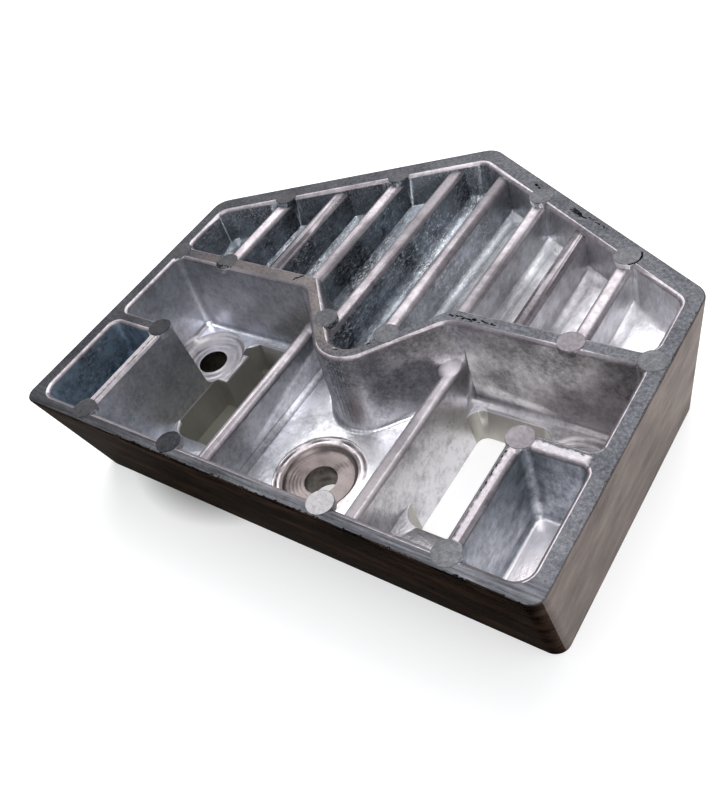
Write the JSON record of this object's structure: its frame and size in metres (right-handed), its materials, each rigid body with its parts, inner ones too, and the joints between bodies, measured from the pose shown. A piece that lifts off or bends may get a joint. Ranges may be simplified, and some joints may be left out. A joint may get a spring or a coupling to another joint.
{
  "type": "sacrificial anode",
  "caption": "Pointed aluminium anode casting, open on its ribbed side, with a U-shaped inner wall, corner pockets, floor slots and bolt holes in dished seats.",
  "frame": {"origin": "middle of the outline's bounding rectangle, on the flat underside", "axes": "+X across the casting, +Y from the straight front edge towards the pointed back, +Z from the flat underside towards the rim"},
  "size_m": [0.165, 0.1416, 0.039],
  "materials": {
    "casting": "bare as-cast metal, satin, with scuffed rim tops"
  },
  "bodies": {
    "root": {"anode_casting": "casting"}
  },
  "joints": []
}
